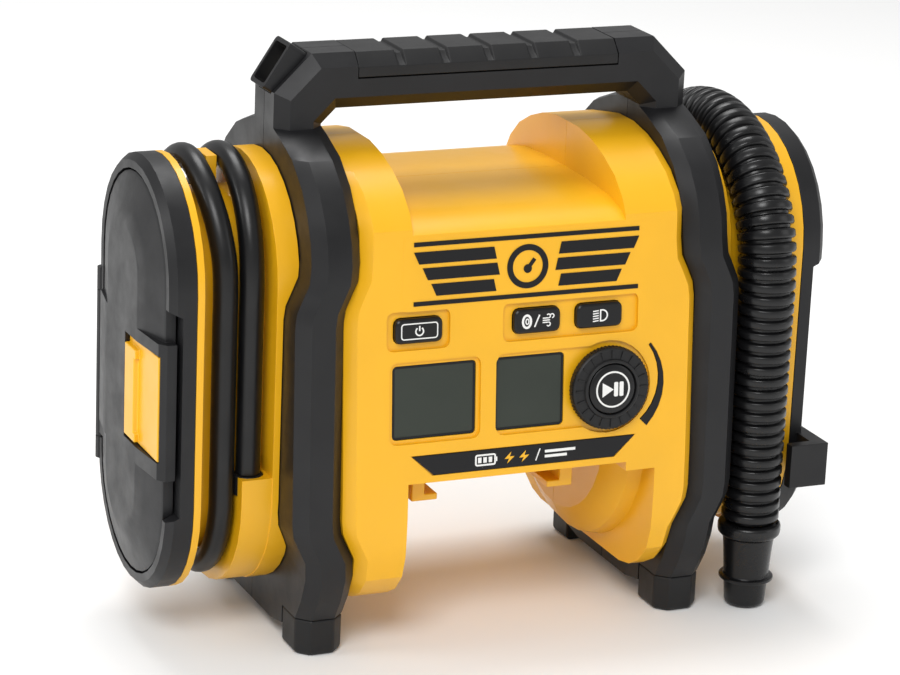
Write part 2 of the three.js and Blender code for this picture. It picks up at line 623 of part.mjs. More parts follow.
function addDrive() {
  const [my, mz] = drive.motor;
  const [cy, cz] = crankAt;
  const can = join(rod("x", [my, mz], -60, -12, 20.5, 24), rod("x", [my, mz], -12, -8.6, 8, 16));
  add("compressor_motor", cut(can, rod("x", [my, mz], -70, 0, 2.3, 12)), steel);
  const shaft = rod("x", [my, mz], -69, 8, 2, 12);
  const pinion = plate(gearOutline([my, mz], drive.pinionTeeth, -Math.PI / 2), "x", 0, 8);
  add("motor_pinion", join(shaft, pinion), steel);
  const blades = Array.from({ length: 8 }, (_, i) => {
    const angle = (i * Math.PI) / 4;
    const across = [[-0.9, 4], [0.9, 4], [0.9, 18.5], [-0.9, 18.5]];
    return plate(across.map((point) => turnedAbout(drive.motor, point, angle)), "x", -67.5, -62.5);
  });
  const hub = rod("x", [my, mz], -68, -62, 6, 16);
  add("cooling_fan", cut(join(hub, ...blades), rod("x", [my, mz], -70, -60, 2.3, 12)), grey);
  const mount = plate(roundRectangle(cy, 147, 50, 84, 8), "x", -8.3, -3.3);
  const feet = [[-11, 110], [35, 110]].map(([y, z]) => rod("x", [y, z], -20, -8, 4, 12));
  const holes = [rod("x", [my, mz], -10, 0, 9, 20), rod("x", [cy, cz], -10, 0, 3.3, 16)];
  const post = plate([[cy - 14, 180], [cy + 14, 180], [cy + 14, 188.6], [cy - 14, 188.6]], "x", -8.3, -1);
  add("gear_bracket", cut(join(mount, ...feet, post), ...holes), aluminium);
  const meshed = Math.PI / 2 + Math.PI / drive.gearTeeth;
  const gear = plate(gearOutline(crankAt, drive.gearTeeth, meshed), "x", 1.5, 6.5);
  const windows = [0, 1, 2].map((i) => {
    const angle = Math.PI + 0.6 + i * 0.98;
    return rod("x", [cy + 17 * Math.cos(angle), cz + 17 * Math.sin(angle)], 0, 8, 5, 12);
  });
  const axle = rod("x", [cy, cz], -7.5, 6.5, 3, 16);
  const pin = rod("x", [cy + 9, cz], 6, 23.5, 2.4, 12);
  add("crank_gear", join(cut(gear, ...windows), axle, pin), grey);
  const x = cylinderX;
  const bigEnd = cut(rod("x", [cy, cz], x - 3, x + 3, 14.6, 24), rod("x", [cy, cz], x - 4, x + 4, 12, 24));
  const blade = block(x - 2.2, x + 2.2, cy - 2.6, cy + 2.6, cz + 13, 160);
  const smallEnd = cut(rod("x", [cy, 162], x - 3, x + 3, 4, 16), rod("x", [cy, 162], x - 4, x + 4, 1.9, 12));
  add("connecting_rod", join(bigEnd, blade, smallEnd), aluminium);
  const crown = turned("z", [x, cy], [[0, 166.6], [8.6, 166.6], [8.6, 170], [0, 170]], 20);
  const skirts = [-1, 1].map((end) =>
    block(x + 5.2 * end - 1.7, x + 5.2 * end + 1.7, cy - 4, cy + 4, 159, 168));
  const wrist = rod("x", [cy, 162], x - 5.2, x + 5.2, 1.6, 12);
  add("piston", join(crown, ...skirts, wrist), steel);
  const sleeve = cut(rod("z", [x, cy], 157, 176, 11.6, 24), rod("z", [x, cy], 150, 180, 8.95, 24));
  add("cylinder", sleeve, aluminium);
  const fins = [178.5, 181.5, 184.5].map((z) => block(x - 11.4, x + 11.7, cy - 13, cy + 13, z, z + 1.4));
  const core = join(block(x - 10.3, x + 10.2, cy - 12, cy + 12, 176.3, 187), ...fins);
  const outlet = rod("y", [x, 181], cy - 17, cy - 11, 2.6, 12);
  add("cylinder_head", cut(join(core, outlet), rod("y", [x, 181], cy - 18, cy - 6, 1.4, 10)), aluminium);
}

function addBlower() {
  const [by, bz] = blowerAt;
  add("blower_motor", rod("x", [by, bz], 27, 43.5, 14, 24), steel);
  const disc = rod("x", [by, bz], 47.5, 49.3, 24, 28);
  const shaft = rod("x", [by, bz], 43.8, 60, 2, 12);
  const vanes = Array.from({ length: 9 }, (_, i) => {
    const angle = (i * 2 * Math.PI) / 9;
    const vane = [[7, 0], [16, 2.2], [23, 7.5], [22, 9], [15, 4], [7, 1.8]];
    return plate(vane.map((point) => turnedAbout(blowerAt, point, angle)), "x", 49, 60);
  });
  add("blower_impeller", join(disc, shaft, ...vanes, rod("x", [by, bz], 49, 60, 6, 16)), grey);
  const scroll = Array.from({ length: 25 }, (_, i) => {
    const angle = Math.PI / 2 - (i * 2 * Math.PI) / 25;
    const radius = 28 + (i * 8) / 24;
    return [by + radius * Math.cos(angle), bz + radius * Math.sin(angle)];
  });
  const inner = scroll.map(([y, z]) => [by + (y - by) * 0.93, bz + (z - bz) * 0.93]);
  const spout = block(44.2, 65, by - 2, 38, bz + 18, bz + 36);
  const spoutHole = block(46.2, 63, by + 4, 40, bz + 20, bz + 34);
  const shell = join(plate(scroll.reverse(), "x", 44.2, 65), spout);
  const eye = rod("x", [by, bz], 60, 70, 13, 20);
  const shaftWay = rod("x", [by, bz], 40, 50, 5, 16);
  const room = plate(inner.reverse(), "x", 46.2, 63);
  add("blower_volute", cut(shell, room, spoutHole, eye, shaftWay), softBlack);
}

// Control panel pieces

function cap(b, from, to) {
  const low = roundRectangle(b.x, b.y, b.width, b.height, 2.6);
  const high = roundRectangle(b.x, b.y, b.width - 1.6, b.height - 1.6, 2.2);
  const layers = [[low, from], [low, to - 0.8], [high, to]];
  return loft(layers.map(([outline, w]) => outline.map(([u, v]) => panelPoint(u, v, w))));
}

function dialRing() {
  const outline = (radius, depth) => Array.from({ length: dial.ridges }, (_, i) => {
    const angle = (i * 2 * Math.PI) / dial.ridges;
    const r = radius - (i % 2) * depth;
    return [dial.x + r * Math.cos(angle), dial.y + r * Math.sin(angle)];
  });
  const layers = [
    [outline(dial.radius, 0.5), -0.9], [outline(dial.radius, 0.5), 3.6], [outline(15.6, 0), dial.height],
  ];
  const loops = layers.map(([points, w]) => points.map(([u, v]) => panelPoint(u, v, w)));
  const bore = onPanel(arc(dial.x, dial.y, dial.hub + gap, 0, 2 * Math.PI, 28).slice(0, -1), -0.4, 8);
  const stem = onPanel(arc(dial.x, dial.y, 7.6, 0, 2 * Math.PI, 20).slice(0, -1), -6, 0);
  const stemBore = onPanel(arc(dial.x, dial.y, 5.6, 0, 2 * Math.PI, 20).slice(0, -1), -7, 1);
  return cut(join(loft(loops), stem), bore, stemBore);
}

function addControls() {
  for (const [name, b] of Object.entries(controls)) add(name + "_button", cap(b, -6, 1.1), softBlack);
  const start = join(
    onPanel(arc(dial.x, dial.y, dial.hub, 0, 2 * Math.PI, 28).slice(0, -1), 2.2, dial.height - 0.4),
    onPanel(arc(dial.x, dial.y, 5.2, 0, 2 * Math.PI, 20).slice(0, -1), -6, 3),
  );
  add("start_button", start, softBlack);
  add("dial_ring", dialRing(), rubber);
  for (const [side, w] of Object.entries({ left: windows.left, right: windows.right })) {
    const outline = roundRectangle(w.x, windows.y, w.width, windows.height, 2);
    add("display_window_" + side, onPanel(outline, -4, -1.9), glass);
  }
  const board = onPanel(roundRectangle(-2, 14, 126, 66, 3), -9.4, -7.8);
  const displays = [windows.left, windows.right].map((w) =>
    onPanel(roundRectangle(w.x, windows.y, w.width - 3, windows.height - 3, 1), -7.9, -4.3));
  const switches = Object.values(controls).map((b) => onPanel(roundRectangle(b.x, b.y, 6, 6, 1), -7.9, -7.2));
  add("control_board", join(board, ...displays, ...switches), circuit);
  add("dial_marker", onPanel(markerOutline(0), -0.5, 0.3), ink);
  add("label_strip", onPanel(stripOutline(0), -0.5, 0.3), ink);
  const plaque = roundRectangle(badge.x, badge.y, badge.width, badge.height, 1.7);
  add("front_badge", onPanel(plaque, -0.5, 0.15), yellow);
}


function onLight(outline, from, to) {
  // x along the mouth, y across it (towards the front), z out of it
  const out = new THREE.Vector3(Math.cos(light.angle), 0, Math.sin(light.angle));
  const along = new THREE.Vector3(-out.z, 0, out.x);
  const across = new THREE.Vector3().crossVectors(out, along);
  const frame = new THREE.Matrix4().makeBasis(along, across, out).setPosition(light.x, 0, light.z);
  const shape = new THREE.Shape(outline.map(([u, v]) => new THREE.Vector2(u, v)));
  const geometry = new THREE.ExtrudeGeometry(shape, { depth: to - from, bevelEnabled: false });
  return solid(geometry.translate(0, 0, from).applyMatrix4(frame));
}

function addLight(cageSolid) {
  const shell = onLight(roundRectangle(0, 0, 2 * light.half, light.width, 2), -8, 12.5);
  const mouth = onLight(roundRectangle(0, 0, 2 * light.half - 4, light.width - 4, 1.2), 3, 14);
  const lensHole = onLight(roundRectangle(0, 0, 14.6, 9.6, 1), -1.4, 5);
  const around = onLight(roundRectangle(0, 0, 2 * light.half + 2 * gap, light.width + 2 * gap, 2), -8.3, 30);
  add("light_hood", cut(shell, mouth, lensHole), black);
  add("light_board", onLight(roundRectangle(0, 0, 14, 9, 0.8), -1.1, 0.2), circuit);
  add("light_lens", onLight(roundRectangle(0, 0, 14, 9, 0.8), 0.5, 4.2), lensWhite);
  return cut(cageSolid, around);
}

// Ends of the two hoses

function addHoseEnds() {
  const [x, y] = [hoseLanes[0].front, -hoseOrbit];
  const bore = rod("z", [x, y], ledgeTop - 20, ledgeTop + 10, 2.2, 12);
  add("hose_gland", cut(rod("z", [x, y], ledgeTop - 8.7, ledgeTop + 0.2, 6.6, 16), bore), black);
  const [cx, cy] = [hoseLanes[1].front, chuck.y];
  const { bottom, top } = chuck;
  const bodyProfile = [
    [0, bottom], [5.4, bottom], [6.8, bottom + 2], [6.8, 96], [5.2, 99], [5.2, 112],
    [6.2, 114], [6.2, top], [0, top],
  ];
  const slot = block(cx - 2.4, cx + 2.4, cy + 1.9, cy + 12, 78, 101);
  const throat = rod("z", [cx, cy], 70, 96, 3.1, 16);
  const pinHole = rod("x", [cy + 4.6, 92], cx - 9, cx + 9, 0.9, 10);
  add("air_chuck", cut(turned("z", [cx, cy], bodyProfile, 20), slot, throat, pinHole), brass);
  const leverEdge = [[3.4, 89], [7.2, 89], [9.5, 100], [10.4, 118], [8.4, 118], [6, 99], [3.4, 94.6]];
  const lever = plate(leverEdge.map(([y, z]) => [cy + y, z]), "x", cx - 2, cx + 2);
  add("chuck_lever", cut(lever, rod("x", [cy + 4.6, 92], cx - 9, cx + 9, 0.95, 10)), steel);
  add("lever_pin", rod("x", [cy + 4.6, 92], cx - 6.4, cx + 6.4, 0.65, 10), steel);
  const w = wideHose;
  const cuff = [[0, 33.3], [11.8, 33.3], [13.4, 34.4], [14.2, 36], [14.2, 38.8], [13, 40], [0, 40]];
  add("hose_cuff", cut(turned("z", [w.x, -w.y], cuff, 28), rod("z", [w.x, -w.y], 30, 44, 9, 24)), softBlack);
  const tip = [
    [7.6, 1.2], [8.7, 1.2], [9.3, 2.6], [9.9, 12.6], [12.3, 12.9], [12.3, 14.4],
    [10.1, 14.8], [11.6, 33], [8, 33],
  ];
  add("inflation_nozzle", turned("z", [w.x, -w.y], [...tip, tip[0]], 28), black);
  const port = [[9, 56.3], [14.2, 56.3], [14.2, 66], [13.4, 73.7], [9, 73.7]];
  add("hose_port", turned("z", [w.x, w.y], [...port, port[0]], 28), black);
}

// Battery connection under the ceiling of the slot

function addBatteryMount() {
  const middle = batteryMiddle;
  const top = bay.ceiling - gap;
  const base = block(middle - 38, middle + 38, -60, 40, top - 4, top);
  const rails = [-1, 1].flatMap((end) => [
    block(middle + end * 35 - 3, middle + end * 35 + 3, -60, 40, top - 12, top - 3),
    block(middle + end * 32 - 6, middle + end * 32 + 6, -60, 40, top - 12, top - 9),
  ]);
  const tower = block(middle - 15, middle + 15, 10, 38, top - 14, top - 3);
  const slots = Object.values(contacts).map((x) =>
    block(middle + x - 1.2, middle + x + 1.2, 5, 34, top - 15, top - 5));
  add("terminal_block", cut(join(base, ...rails, tower), ...slots), yellow);
  for (const [name, x] of Object.entries(contacts)) {
    add(name, block(middle + x - 0.7, middle + x + 0.7, 12, 33.5, top - 13, top - 5.4), brass);
  }
}

function addFittings() {
  const inlet = cut(block(-61.7, -44.3, 52, 66.5, 96.3, 105.7), block(-58, -48, 60, 70, 98.2, 103.8));
  add("power_inlet", inlet, black);
  for (const [i, [x, z]] of screwPlaces.entries()) {
    const head = rod("y", [x, z], 54, 57.6, 3.6, 12);
    const hex = rod("y", [x, z], 56, 58, 1.6, 6);
    add("rear_screw_" + (i + 1), cut(head, hex), steel);
  }
  const line = [
    [cylinderX, -5.3, 181], [cylinderX, -22, 181], [0, -36, 178], [-40, -40, 176], [-60, -40, 172],
  ];
  add("pressure_line", tube(line, 2.5, 8, 16), rubber);
}

const cage = addLight(cageWhole());
add("front_cage", cage.intersect(frontOnly()), black);
add("rear_cage", cage.intersect(rearOnly()), black);
add("handle_grip", handleGrip(), rubber);
add("foot_front_left", foot(-1, -1), rubber);
add("foot_front_right", foot(1, -1), rubber);
add("foot_rear_left", foot(-1, 1), rubber);
add("foot_rear_right", foot(1, 1), rubber);
const body = bodyWhole();
add("front_housing", cut(body.intersect(frontOnly()), ...frontPockets()), yellow);
add("rear_housing", cut(body.intersect(rearOnly()), ...rearDetails()), yellow);
add("left_drum", leftDrum(), yellow);
add("right_drum", rightDrum(), yellow);
add("storage_tub", storageTub(), black);
add("storage_door", storageDoor(), black);
add("door_hinge_pin", rod("z", [hinge.x, hinge.y], 61, 151, 1.3, 12), steel);
add("door_latch", doorLatch(), yellow);
add("right_end_cap", endCap(), black);
addDrive();
addBlower();
addControls();
addHoseEnds();
addBatteryMount();
addFittings();
add("high_pressure_hose", tube(rubberHoseRoute(), hoseRadius, 8, 78), rubber);
add("inflation_hose", tube(wideHoseRoute(), wideHoseRadius, 12, 34), softBlack);
export default root;
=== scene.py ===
import json
import math

import bmesh
import bpy
from mathutils import Matrix, Vector


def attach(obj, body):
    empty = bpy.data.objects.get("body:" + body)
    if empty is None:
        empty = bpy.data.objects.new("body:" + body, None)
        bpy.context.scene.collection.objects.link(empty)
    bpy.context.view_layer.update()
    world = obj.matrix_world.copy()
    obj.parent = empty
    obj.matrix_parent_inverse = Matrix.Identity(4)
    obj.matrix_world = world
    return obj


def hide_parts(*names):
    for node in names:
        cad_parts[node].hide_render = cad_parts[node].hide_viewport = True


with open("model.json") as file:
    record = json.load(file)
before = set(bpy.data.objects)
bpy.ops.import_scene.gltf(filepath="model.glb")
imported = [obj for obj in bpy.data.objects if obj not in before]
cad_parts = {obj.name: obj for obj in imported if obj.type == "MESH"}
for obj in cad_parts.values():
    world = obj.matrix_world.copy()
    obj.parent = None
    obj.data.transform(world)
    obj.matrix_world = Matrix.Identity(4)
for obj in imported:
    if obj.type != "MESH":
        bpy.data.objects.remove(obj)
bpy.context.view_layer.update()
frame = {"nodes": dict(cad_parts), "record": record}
nodes = frame["nodes"]
mm = 0.001  # lengths below are in mm unless a note says otherwise
print("frame loaded:", len(nodes), "nodes")

# camera: angles in degrees, the clip distances in metres
camera = {"target": (-4.77, 3.0, 118.2), "distance": 1509.6, "azimuth": -23.95, "elevation": 17.19,
          "roll": 2.46, "lens": 135.34, "sensor": 36, "clip": (0.05, 20)}


def makeCamera():
    a, e, r = (math.radians(camera[k]) for k in ("azimuth", "elevation", "roll"))
    back = Vector((math.sin(a) * math.cos(e), -math.cos(a) * math.cos(e), math.sin(e)))
    level = Vector((math.cos(a), math.sin(a), 0))
    upright = back.cross(level)
    right = math.cos(r) * level + math.sin(r) * upright
    up = math.cos(r) * upright - math.sin(r) * level
    data = bpy.data.cameras.new("camera")
    data.lens = camera["lens"]
    data.sensor_width = camera["sensor"]
    data.clip_start, data.clip_end = camera["clip"]
    eye = bpy.data.objects.new("camera", data)
    turn = Matrix((right, up, back)).transposed().to_4x4()
    place = Vector(camera["target"]) * mm + back * camera["distance"] * mm
    eye.matrix_world = Matrix.Translation(place) @ turn
    bpy.context.scene.collection.objects.link(eye)
    bpy.context.scene.camera = eye


makeCamera()
bpy.context.scene.view_settings.view_transform = "Standard"

# floor and lights: sizes and places in metres, power in watts
studio = {"floor": (0.93, 0.93, 0.925), "floorRough": 0.8, "floorHalf": 6, "sky": 0.5, "aim": (0, 0, 0.12)}
lamps = {
    "key": {"at": (-1.1, -1.7, 2.0), "size": 1.1, "power": 40},
    "fill": {"at": (1.9, -1.3, 0.8), "size": 1.2, "power": 5},
    "top": {"at": (0.1, 0.7, 1.9), "size": 1.0, "power": 22},
    "left": {"at": (-1.9, 0.2, 0.9), "size": 0.7, "power": 9},
}


def nodeOf(tree, kind, values=None, **settings):
    made = tree.nodes.new(kind)
    for key, value in settings.items():
        setattr(made, key, value)
    for key, value in (values or {}).items():
        made.inputs[key].default_value = value
    return made


def makeStudio():
    bm = bmesh.new()
    bmesh.ops.create_grid(bm, x_segments=8, y_segments=8, size=studio["floorHalf"])
    mesh = bpy.data.meshes.new("floor")
    bm.to_mesh(mesh)
    floor = bpy.data.objects.new("floor", mesh)
    bpy.context.scene.collection.objects.link(floor)
    paint = bpy.data.materials.new("floorPaint")
    paint.use_nodes = True
    shader = paint.node_tree.nodes["Principled BSDF"]
    shader.inputs["Base Color"].default_value = (*studio["floor"], 1)
    shader.inputs["Roughness"].default_value = studio["floorRough"]
    mesh.materials.append(paint)
    aim = Vector(studio["aim"])
    for name, lamp in lamps.items():
        light = bpy.data.lights.new(name, "AREA")
        light.size = lamp["size"]
        light.energy = lamp["power"]
        holder = bpy.data.objects.new(name, light)
        holder.location = lamp["at"]
        holder.rotation_euler = (aim - holder.location).to_track_quat("-Z", "Y").to_euler()
        bpy.context.scene.collection.objects.link(holder)
    world = bpy.data.worlds.new("sky")
    world.use_nodes = True
    background = world.node_tree.nodes["Background"]
    background.inputs["Color"].default_value = (1, 1, 1, 1)
    background.inputs["Strength"].default_value = studio["sky"]
    bpy.context.scene.world = world


makeStudio()
print("studio ready")

# finishes: colour, roughness and its spread, size and height of the grain, cloudiness of the colour, clear
# coat, and where they differ from the usual, the strength of reflections and the share of metal
finishes = {
    "yellowShell": {"color": (0.84, 0.43, 0.006), "rough": 0.36, "spread": 0.05, "grain": 0.5,
                    "height": 0.006, "clouds": 0.05, "coat": 0.08},
    "blackFrame": {"color": (0.0085, 0.0085, 0.0095), "rough": 0.43, "spread": 0.08, "grain": 0.34,
                   "height": 0.02, "clouds": 0.2, "coat": 0.0, "spec": 0.36},
    "gripRubber": {"color": (0.0085, 0.0085, 0.009), "rough": 0.5, "spread": 0.08, "grain": 0.28,
                   "height": 0.025, "clouds": 0.2, "coat": 0.0, "spec": 0.36},
    "footRubber": {"color": (0.008, 0.008, 0.0085), "rough": 0.5, "spread": 0.1, "grain": 0.4,
                   "height": 0.03, "clouds": 0.25, "coat": 0.0, "spec": 0.36},
    "hoseRubber": {"color": (0.005, 0.005, 0.0055), "rough": 0.36, "spread": 0.08, "grain": 0.6,
                   "height": 0.01, "clouds": 0.2, "coat": 0.0, "spec": 0.38},
    "corrugatedPlastic": {"color": (0.005, 0.005, 0.0055), "rough": 0.3, "spread": 0.07, "grain": 0.5,
                          "height": 0.008, "clouds": 0.15, "coat": 0.0, "spec": 0.4},
    "buttonPlastic": {"color": (0.004, 0.004, 0.0045), "rough": 0.34, "spread": 0.05, "grain": 0.3,
                      "height": 0.01, "clouds": 0.1, "coat": 0.0, "spec": 0.35},
    "displayGlass": {"color": (0.034, 0.041, 0.033), "rough": 0.22, "spread": 0.03, "grain": 2.0,
                     "height": 0.001, "clouds": 0.1, "coat": 0.0, "spec": 0.22},
    "printedBlack": {"color": (0.004, 0.004, 0.005), "rough": 0.34, "spread": 0.04, "grain": 0.4,
                     "height": 0.004, "clouds": 0.08, "coat": 0.0, "spec": 0.3},
    "printedWhite": {"color": (0.8, 0.8, 0.78), "rough": 0.4, "spread": 0.04, "grain": 0.3,
                     "height": 0.004, "clouds": 0.04, "coat": 0.0},
    "lampLens": {"color": (0.55, 0.5, 0.42), "rough": 0.22, "spread": 0.05, "grain": 0.8,
                 "height": 0.02, "clouds": 0.1, "coat": 0.3},
    "steelFinish": {"color": (0.55, 0.55, 0.56), "rough": 0.28, "spread": 0.1, "grain": 0.5,
                    "height": 0.006, "clouds": 0.1, "coat": 0.0, "metal": 1},
    "brassFinish": {"color": (0.66, 0.47, 0.17), "rough": 0.28, "spread": 0.1, "grain": 0.5,
                    "height": 0.006, "clouds": 0.12, "coat": 0.0, "metal": 1},
    "aluminiumFinish": {"color": (0.6, 0.6, 0.62), "rough": 0.4, "spread": 0.1, "grain": 0.3,
                        "height": 0.015, "clouds": 0.1, "coat": 0.0, "metal": 1},
    "circuitGreen": {"color": (0.02, 0.12, 0.05), "rough": 0.4, "spread": 0.1, "grain": 1.2,
                     "height": 0.01, "clouds": 0.5, "coat": 0.2},
    "greyPlastic": {"color": (0.16, 0.16, 0.17), "rough": 0.5, "spread": 0.08, "grain": 0.3,
                    "height": 0.015, "clouds": 0.1, "coat": 0.0},
}
slotFinish = {
    "yellow_shell": "yellowShell", "black_frame": "blackFrame", "grip_rubber": "gripRubber",
    "foot_rubber": "footRubber", "hose_rubber": "hoseRubber", "corrugated_plastic": "corrugatedPlastic",
    "button_plastic": "buttonPlastic", "display_glass": "displayGlass", "printed_black": "printedBlack",
    "badge_yellow": "yellowShell", "lamp_lens": "lampLens", "steel": "steelFinish", "brass": "brassFinish",
    "aluminium": "aluminiumFinish", "circuit_board": "circuitGreen", "grey_plastic": "greyPlastic",
}


# textures shared by all the finishes: scales are per metre
clouding = {"Scale": 22, "Detail": 4, "Roughness": 0.55}
smearing = {"Scale": 60, "Detail": 5, "Roughness": 0.6}
graining = {"Detail": 3, "Roughness": 0.5}
usual = {"metal": 0, "spec": 0.5, "coatRough": 0.12, "bump": 0.5, "low": 0.3, "high": 0.7}


def makeFinish(name, look):
    material = bpy.data.materials.new(name)
    material.use_nodes = True
    tree = material.node_tree
    shader = tree.nodes["Principled BSDF"]
    shader.inputs["Metallic"].default_value = look.get("metal", usual["metal"])
    shader.inputs["Specular IOR Level"].default_value = look.get("spec", usual["spec"])
    shader.inputs["Coat Weight"].default_value = look["coat"]
    shader.inputs["Coat Roughness"].default_value = usual["coatRough"]
    place = nodeOf(tree, "ShaderNodeTexCoord")
    clouds = nodeOf(tree, "ShaderNodeTexNoise", clouding)
    tree.links.new(place.outputs["Object"], clouds.inputs["Vector"])
    ramp = nodeOf(tree, "ShaderNodeValToRGB")
    shares = (usual["low"], 1 - look["clouds"]), (usual["high"], 1 + 0.6 * look["clouds"])
    for stop, (at, share) in zip(ramp.color_ramp.elements, shares):
        stop.position = at
        stop.color = (*(min(c * share, 1) for c in look["color"]), 1)
    tree.links.new(clouds.outputs["Fac"], ramp.inputs["Fac"])
    tree.links.new(ramp.outputs["Color"], shader.inputs["Base Color"])
    smears = nodeOf(tree, "ShaderNodeTexNoise", smearing)
    tree.links.new(place.outputs["Object"], smears.inputs["Vector"])
    ends = {"From Min": usual["low"], "From Max": usual["high"],
            "To Min": look["rough"] - look["spread"], "To Max": look["rough"] + look["spread"]}
    spread = nodeOf(tree, "ShaderNodeMapRange", ends)
    tree.links.new(smears.outputs["Fac"], spread.inputs["Value"])
    tree.links.new(spread.outputs["Result"], shader.inputs["Roughness"])
    grain = nodeOf(tree, "ShaderNodeTexNoise", {"Scale": 1 / (look["grain"] * mm), **graining})
    tree.links.new(place.outputs["Object"], grain.inputs["Vector"])
    depth = {"Strength": usual["bump"], "Distance": look["height"] * mm}
    bump = nodeOf(tree, "ShaderNodeBump", depth)
    tree.links.new(grain.outputs["Fac"], bump.inputs["Height"])
    tree.links.new(bump.outputs["Normal"], shader.inputs["Normal"])
    return material


materials = {name: makeFinish(name, look) for name, look in finishes.items()}
slotOf = {s["node"]: s["material_slot"] for s in frame["record"]["subparts"]}
bodyOf = {n: body for body, members in frame["record"]["behaviour"]["bodies"].items() for n in members}
for node, holder in nodes.items():
    holder.data.materials.clear()
    holder.data.materials.append(materials[slotFinish[slotOf[node]]])
print("finishes ready:", len(materials))


# making pieces: each rides on the body of the node that it is like, and takes the finish of that node's slot
# unless another finish is given
def finishPiece(name, bm, like, replaced=(), crease=35, finish=None, weigh=True):
    mesh = bpy.data.meshes.new(name)
    bmesh.ops.recalc_face_normals(bm, faces=bm.faces)
    bm.to_mesh(mesh)
    bm.free()
    mesh.shade_smooth()
    mesh.set_sharp_from_angle(angle=math.radians(crease))
    mesh.materials.append(materials[finish or slotFinish[slotOf[like]]])
    piece = bpy.data.objects.new(name, mesh)
    bpy.context.scene.collection.objects.link(piece)
    if weigh:
        modifier = piece.modifiers.new("weights", "WEIGHTED_NORMAL")
        modifier.keep_sharp = True
        modifier.weight = 50
    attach(piece, bodyOf[like])
    if replaced:
        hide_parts(*replaced)
    return piece


def bevelEdges(bm, width, segments, angle):
    sharp = [e for e in bm.edges if e.is_manifold and e.calc_face_angle(0) > math.radians(angle)]
    bmesh.ops.bevel(bm, geom=sharp, offset=width * mm, offset_type="OFFSET", segments=segments,
                    profile=0.5, affect="EDGES", clamp_overlap=True)


# moulded pieces: the width of each one's rounded edges, and how edges are found
rounding = {"segments": 3, "angle": 24, "flatten": 1.0, "weld": 0.002}
bevels = {
    "front_cage": 1.4, "rear_cage": 1.4, "foot_front_left": 1.2, "foot_front_right": 1.2,
    "foot_rear_left": 1.2, "foot_rear_right": 1.2, "front_housing": 1.1, "rear_housing": 1.1,
    "left_drum": 0.8, "right_drum": 0.8, "storage_tub": 0.8, "storage_door": 0.9,
    "right_end_cap": 0.8, "door_latch": 0.7, "power_button": 0.3, "mode_button": 0.3,
    "light_button": 0.3, "light_hood": 0.4, "hose_gland": 0.5, "air_chuck": 0.3, "hose_port": 0.6,
    "terminal_block": 0.6, "label_strip": 0.12, "power_inlet": 0.4, "chuck_lever": 0.3,
}


def refine(node, width):
    bm = bmesh.new()
    bm.from_mesh(nodes[node].data)
    bmesh.ops.remove_doubles(bm, verts=bm.verts, dist=rounding["weld"] * mm)
    flat = math.radians(rounding["flatten"])
    bmesh.ops.dissolve_limit(bm, angle_limit=flat, verts=bm.verts, edges=bm.edges)
    bevelEdges(bm, width, rounding["segments"], rounding["angle"])
    finishPiece(node + "_skin", bm, node, (node,))


for node, width in bevels.items():
    refine(node, width)
print("pieces refined:", len(bevels))


# arcs and paths
def circlePoints(cx, cy, radius, start=0.0, end=2 * math.pi, steps=24):
    return [(cx + radius * math.cos(start + (end - start) * i / steps),
             cy + radius * math.sin(start + (end - start) * i / steps)) for i in range(steps + 1)]


def smoothed(points, step, cuts=16):
    # centripetal curve through the points, each span in so many cuts, then divided into equal steps
    knots = [Vector(p) for p in points]
    knots = [2 * knots[0] - knots[1]] + knots + [2 * knots[-1] - knots[-2]]
    line = []
    for p0, p1, p2, p3 in zip(knots, knots[1:], knots[2:], knots[3:]):
        t0, t1, t2 = ((b - a).length ** 0.5 for a, b in ((p0, p1), (p1, p2), (p2, p3)))
        m1 = ((p1 - p0) / t0 - (p2 - p0) / (t0 + t1) + (p2 - p1) / t1) * t1
        m2 = ((p2 - p1) / t1 - (p3 - p1) / (t1 + t2) + (p3 - p2) / t2) * t1
        for t in (i / cuts for i in range(cuts)):
            line.append((2 * t**3 - 3 * t**2 + 1) * p1 + (t**3 - 2 * t**2 + t) * m1
                        + (3 * t**2 - 2 * t**3) * p2 + (t**3 - t**2) * m2)
    line.append(knots[-2])
    even, left = [line[0]], step
    for a, b in zip(line, line[1:]):
        span = (b - a).length
        while span >= left:
            a = a + (b - a).normalized() * left
            even.append(a)
            span, left = (b - a).length, step
        left -= span
    return even + [line[-1]] if (even[-1] - line[-1]).length > 0.3 * step else even


def pathLength(path):
    return sum((b - a).length for a, b in zip(path, path[1:]))


def sweep(path, radiusAt, sides):
    # radiusAt gives the radius for the distance travelled along the path
    bm = bmesh.new()
    tangent = (path[1] - path[0]).normalized()
    across = tangent.orthogonal().normalized()
    travelled, rings = 0.0, []
    for i, point in enumerate(path):
        ahead = path[min(i + 1, len(path) - 1)] - path[max(i - 1, 0)]
        turned = ahead.normalized()
        across = (tangent.rotation_difference(turned) @ across).normalized()
        tangent = turned
        up = tangent.cross(across)
        if i:
            travelled += (point - path[i - 1]).length
        radius = radiusAt(travelled)
        rings.append([bm.verts.new((point + radius * (math.cos(a) * across + math.sin(a) * up)) * mm)
                      for a in (2 * math.pi * k / sides for k in range(sides))])
    for low, high in zip(rings, rings[1:]):
        for k in range(sides):
            bm.faces.new((low[k], low[(k + 1) % sides], high[(k + 1) % sides], high[k]))
    bm.faces.new(rings[0][::-1])
    bm.faces.new(rings[-1])
    return bm


# rubber hose, on the same route as the CAD's: a lap is two straights and two bends, and each lane gives X at
# the front and over the top
rubberHose = {"radius": 5.3, "orbit": 39.4, "low": 29.6, "high": 202.4, "rise": 7.6, "start": 80.3,
              "lanes": ((-115.2, -114.8), (-126.9, -131)), "chuckY": 57.5, "chuckTop": 120.3,
              "stride": 12, "pastLastBend": 18, "changeShare": 0.4, "sides": 20, "step": 3.0}


